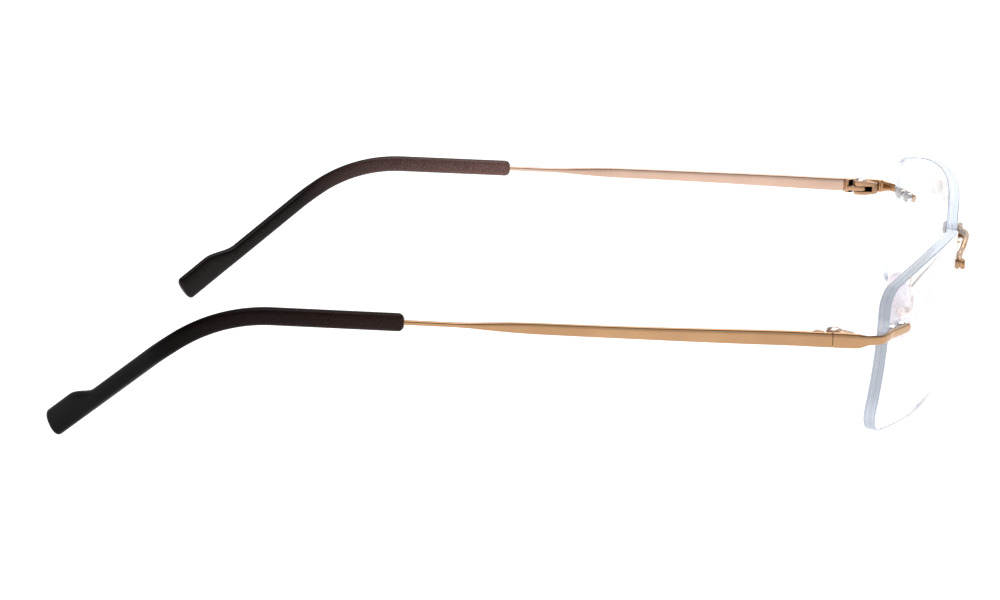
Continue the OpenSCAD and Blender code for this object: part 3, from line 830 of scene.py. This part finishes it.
both("endpiece_arm", endpiece(), "front", ROSE, "rose_gold_metal", ["endpiece_{side}"])
both("lens_bushings", joined(*[bushing(a, b) for a, b in END_PINS]), "front", PLASTIC,
     "clear_bushing", ["endpiece_bushings_{side}"])
both("bridge_lens_bushings", joined(*[bushing(a, b) for a, b in NOSE_PINS]), "front", PLASTIC,
     "clear_bushing", ["bridge_bushings_{side}"])
new_piece("bridge_bar", *bridge(), "front", ROSE, "rose_gold_metal", ["bridge"])
both("pad_wire", pad_arm(), "front", PALE_WIRE, "rose_gold_metal", ["pad_arm_{side}"])
both("silicone_pad", nose_pad(), "{side}_pad", PAD, "soft_pad", ["nose_pad_{side}"])
both("temple_blade", temple(), "{side}_temple", ROSE, "rose_gold_metal", ["temple_{side}"],
     inner=ROSE_INNER_PAINTED_LIGHT)
both("ear_sleeve", tip_sleeve(), "{side}_temple", SLEEVE, "brown_sleeve", ["tip_sleeve_{side}"],
     inner=SLEEVE_INNER_PAINTED_LIGHT)


# Each of these tells whether a place by the left hinge pin lies in a recess, whose faces get painted shade.

def in_fork_slot(x, y, z):
    return -2.42 < y < 0.6 and -0.8 < z < 0.3 and x < 1.5


def in_wedge_notch(x, y, z):
    return 1.3 < y < 2.6 and 0.1 < x < 1.1 and abs(z) < 1.25


def in_head_slot(x, y, z):
    return 1.4 < z < 1.8 and abs(x) < 0.3 and (abs(y) < 0.35 or abs(y) > 0.5)


# The last argument picks the recess faces that get painted shade.
for side in SIDES:
    refined(f"front_hinge_{side}", 0.07, "front", HINGE_METAL, f"outer_knuckles_{side}",
            in_fork_slot)
    refined(f"temple_hinge_{side}", 0.07, f"{side}_temple", HINGE_METAL,
            f"middle_knuckle_{side}", in_wedge_notch)
    refined(f"hinge_screw_{side}", 0.04, "front", SCREW, f"pivot_screw_{side}",
            in_head_slot)
    refined(f"pad_box_{side}", 0.12, "front", PALE_WIRE, f"pad_clip_{side}")
    refined(f"pad_screw_{side}", 0.06, "front", PALE_WIRE, f"pad_clip_screw_{side}")
    refined(f"pad_core_{side}", 0.08, f"{side}_pad", INSERT, f"pad_plate_{side}")


# ---------- studio ----------

def studio_floor():
    mesh = bpy.data.meshes.new("floor")
    corners = [(-FLOOR_HALF, -FLOOR_HALF, 0), (FLOOR_HALF, -FLOOR_HALF, 0),
               (FLOOR_HALF, FLOOR_HALF, 0), (-FLOOR_HALF, FLOOR_HALF, 0)]
    mesh.from_pydata(corners, [], [(0, 1, 2, 3)])
    m = Nodes("white_paper")
    m.set(Base_Color=(0.3, 0.3, 0.3, 1), Roughness=0.9, Emission_Color=(1, 1, 1, 1), Emission_Strength=1.15)
    mesh.materials.append(m.material)
    floor = bpy.data.objects.new("floor", mesh)
    floor.location.z = cad_low.z - FLOOR_GAP
    bpy.context.scene.collection.objects.link(floor)


def studio_world():
    """Pale surroundings with a dark band and a bright top, so that the metal shows soft bands."""
    world = bpy.data.worlds.new("studio")
    bpy.context.scene.world = world
    world.use_nodes = True
    tree = world.node_tree
    tree.nodes.clear()
    place = tree.nodes.new("ShaderNodeTexCoord")
    split = tree.nodes.new("ShaderNodeSeparateXYZ")
    height = tree.nodes.new("ShaderNodeValToRGB")
    ramp = height.color_ramp
    ramp.elements[0].color = (SKY[0][1],) * 3 + (1,)
    ramp.elements[-1].color = (SKY[-1][1],) * 3 + (1,)
    for at, value in SKY[1:-1]:
        ramp.elements.new(at).color = (value,) * 3 + (1,)
    back = tree.nodes.new("ShaderNodeBackground")
    plain = tree.nodes.new("ShaderNodeBackground")
    plain.inputs["Color"].default_value = (1, 1, 1, 1)
    path = tree.nodes.new("ShaderNodeLightPath")
    mix = tree.nodes.new("ShaderNodeMixShader")
    out = tree.nodes.new("ShaderNodeOutputWorld")
    link = tree.links.new
    link(place.outputs["Generated"], split.inputs["Vector"])
    link(split.outputs["Z"], height.inputs["Fac"])
    link(height.outputs["Color"], back.inputs["Color"])
    link(path.outputs["Is Camera Ray"], mix.inputs["Fac"])
    link(back.outputs["Background"], mix.inputs[1])
    link(plain.outputs["Background"], mix.inputs[2])
    link(mix.outputs["Shader"], out.inputs["Surface"])


def softbox(name, at, aim, size, power):
    light = bpy.data.lights.new(name, "AREA")
    light.shape = "RECTANGLE"
    light.size, light.size_y = size
    light.energy = power
    lamp = bpy.data.objects.new(name, light)
    lamp.location = at
    lamp.rotation_euler = (Vector(aim) - Vector(at)).to_track_quat("-Z", "Y").to_euler()
    bpy.context.scene.collection.objects.link(lamp)


def studio_camera():
    """Looks along +X, a little down, from the wearer's right."""
    yaw, pitch, roll = (math.radians(angle) for angle in CAMERA_TURN)
    forward = Vector((math.cos(yaw) * math.cos(pitch), math.sin(yaw) * math.cos(pitch), math.sin(pitch)))
    right = forward.cross(Vector((0, 0, 1))).normalized()
    up = right.cross(forward)
    right, up = (math.cos(roll) * right + math.sin(roll) * up,
                 math.cos(roll) * up - math.sin(roll) * right)
    data = bpy.data.cameras.new("camera")
    data.sensor_width = 36
    data.lens = CAMERA_LENS
    data.clip_start = 0.01
    camera = bpy.data.objects.new("camera", data)
    turned = Matrix((right, up, -forward)).transposed().to_4x4()
    camera.matrix_world = Matrix.Translation(CAMERA_AT) @ turned
    bpy.context.scene.collection.objects.link(camera)
    bpy.context.scene.camera = camera


studio_floor()
studio_world()
softbox("far_side", at=(0.8, -0.2, 0.8), aim=(0, 0, 0), size=(0.5, 0.9), power=3)
studio_camera()

scene = bpy.context.scene
scene.view_settings.view_transform = "Standard"
scene.view_settings.look = "None"
scene.cycles.max_bounces = 16
scene.cycles.transmission_bounces = 16
scene.cycles.transparent_max_bounces = 16
